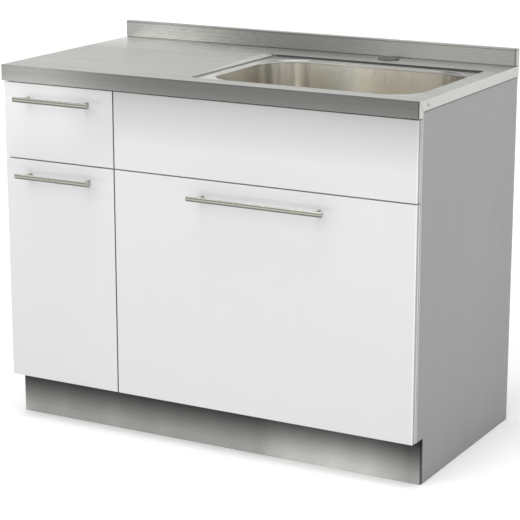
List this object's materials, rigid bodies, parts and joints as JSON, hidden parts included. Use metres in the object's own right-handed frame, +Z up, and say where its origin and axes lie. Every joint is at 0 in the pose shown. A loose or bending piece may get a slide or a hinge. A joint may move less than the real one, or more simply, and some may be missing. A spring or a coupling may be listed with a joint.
{
  "type": "kitchen sink unit",
  "caption": "Free-standing sink unit: stainless worktop with a pressed bowl and upstand, gloss white fronts with bar handles, pull-outs on ball runners.",
  "frame": {"origin": "on the floor, at the middle of the unit's width and of its depth over the handles", "axes": "+X to the right seen from the front, +Y towards the wall, +Z up"},
  "size_m": [1.05, 0.581, 0.89],
  "materials": {
    "stainless_top": "long brushed grain along the unit",
    "stainless_bowl": "satin, drawn",
    "stainless_plinth": "upright brushed grain",
    "stainless_waste": "satin",
    "dark_cover": "satin dark grey",
    "zinc_steel": "bright zinc",
    "core_board": "raw particle board",
    "trap_plastic": "moulded",
    "nut_plastic": "moulded",
    "grey_panel": "grey laminate with a fine upright grain",
    "carcass_board": "pale melamine",
    "back_sheet": "pale paper-faced board",
    "gloss_white": "high gloss white film on board",
    "nickel": "brushed nickel",
    "drawer_board": "pale melamine",
    "chrome_rod": "polished rod"
  },
  "bodies": {
    "cabinet": {"apron_end_caps": "stainless_top", "back_panel": "back_sheet", "base_panel": "carcass_board", "cabinet_runners": "zinc_steel", "drawer_divider_rail": "carcass_board", "front_rail": "carcass_board", "outlet_nut": "nut_plastic", "outlet_spigot": "trap_plastic", "partition_panel": "carcass_board", "plinth_board": "stainless_plinth", "plinth_rear_rail": "carcass_board", "side_panel_left": "grey_panel", "side_panel_right": "grey_panel", "sink_bowl": "stainless_bowl", "sink_cross_rail": "carcass_board", "sink_front": "gloss_white", "sink_front_brackets": "zinc_steel", "tap_hole_clamp": "zinc_steel", "tap_hole_cover": "dark_cover", "trap_body": "trap_plastic", "upstand": "stainless_top", "wall_rail": "carcass_board", "waste_flange": "stainless_waste", "waste_locknut": "nut_plastic", "worktop": "stainless_top", "worktop_board": "core_board", "worktop_front_batten": "core_board", "worktop_side_screws": "zinc_steel"},
    "top_drawer": {"top_drawer_box_back": "drawer_board", "top_drawer_box_base": "drawer_board", "top_drawer_box_sides": "drawer_board", "top_drawer_front": "gloss_white", "top_drawer_handle_bar": "nickel", "top_drawer_handle_posts": "nickel", "top_drawer_handle_screws": "zinc_steel", "top_drawer_runner_members": "zinc_steel"},
    "top_drawer_middle": {"top_drawer_middle_runners": "zinc_steel"},
    "bottle_drawer": {"bottle_drawer_box_back": "drawer_board", "bottle_drawer_box_base": "drawer_board", "bottle_drawer_box_sides": "drawer_board", "bottle_drawer_front": "gloss_white", "bottle_drawer_gallery": "chrome_rod", "bottle_drawer_handle_bar": "nickel", "bottle_drawer_handle_posts": "nickel", "bottle_drawer_handle_screws": "zinc_steel", "bottle_drawer_runner_members": "zinc_steel"},
    "bottle_drawer_middle": {"bottle_drawer_middle_runners": "zinc_steel"},
    "sink_drawer": {"sink_drawer_box_back": "drawer_board", "sink_drawer_box_base": "drawer_board", "sink_drawer_box_sides": "drawer_board", "sink_drawer_front": "gloss_white", "sink_drawer_gallery": "chrome_rod", "sink_drawer_handle_bar": "nickel", "sink_drawer_handle_posts": "nickel", "sink_drawer_handle_screws": "zinc_steel", "sink_drawer_runner_members": "zinc_steel"},
    "sink_drawer_middle": {"sink_drawer_middle_runners": "zinc_steel"},
    "trap_insert": {"trap_insert": "trap_plastic"},
    "strainer_basket": {"strainer_basket": "stainless_waste"},
    "waste_lid": {"waste_lid": "stainless_waste"}
  },
  "joints": [
    {"name": "top_drawer_slide", "type": "slide", "parent": "cabinet", "child": "top_drawer", "axis": [0, -1, 0], "range_m": [0, 0.4]},
    {"name": "top_drawer_middle_slide", "type": "slide", "parent": "cabinet", "child": "top_drawer_middle", "axis": [0, -1, 0], "range_m": [0, 0.2]},
    {"name": "bottle_drawer_slide", "type": "slide", "parent": "cabinet", "child": "bottle_drawer", "axis": [0, -1, 0], "range_m": [0, 0.4]},
    {"name": "bottle_drawer_middle_slide", "type": "slide", "parent": "cabinet", "child": "bottle_drawer_middle", "axis": [0, -1, 0], "range_m": [0, 0.2]},
    {"name": "sink_drawer_slide", "type": "slide", "parent": "cabinet", "child": "sink_drawer", "axis": [0, -1, 0], "range_m": [0, 0.4]},
    {"name": "sink_drawer_middle_slide", "type": "slide", "parent": "cabinet", "child": "sink_drawer_middle", "axis": [0, -1, 0], "range_m": [0, 0.2]},
    {"name": "trap_insert_lift", "type": "slide", "parent": "cabinet", "child": "trap_insert", "axis": [0, 0, 1], "range_m": [0, 0.15]},
    {"name": "basket_lift", "type": "slide", "parent": "trap_insert", "child": "strainer_basket", "axis": [0, 0, 1], "range_m": [0, 0.12]},
    {"name": "waste_lid_lift", "type": "slide", "parent": "strainer_basket", "child": "waste_lid", "axis": [0, 0, 1], "range_m": [0, 0.1]}
  ],
  "couplings": [
    {"joint": "top_drawer_middle_slide", "follows": "top_drawer_slide", "ratio": 0.5},
    {"joint": "bottle_drawer_middle_slide", "follows": "bottle_drawer_slide", "ratio": 0.5},
    {"joint": "sink_drawer_middle_slide", "follows": "sink_drawer_slide", "ratio": 0.5}
  ]
}
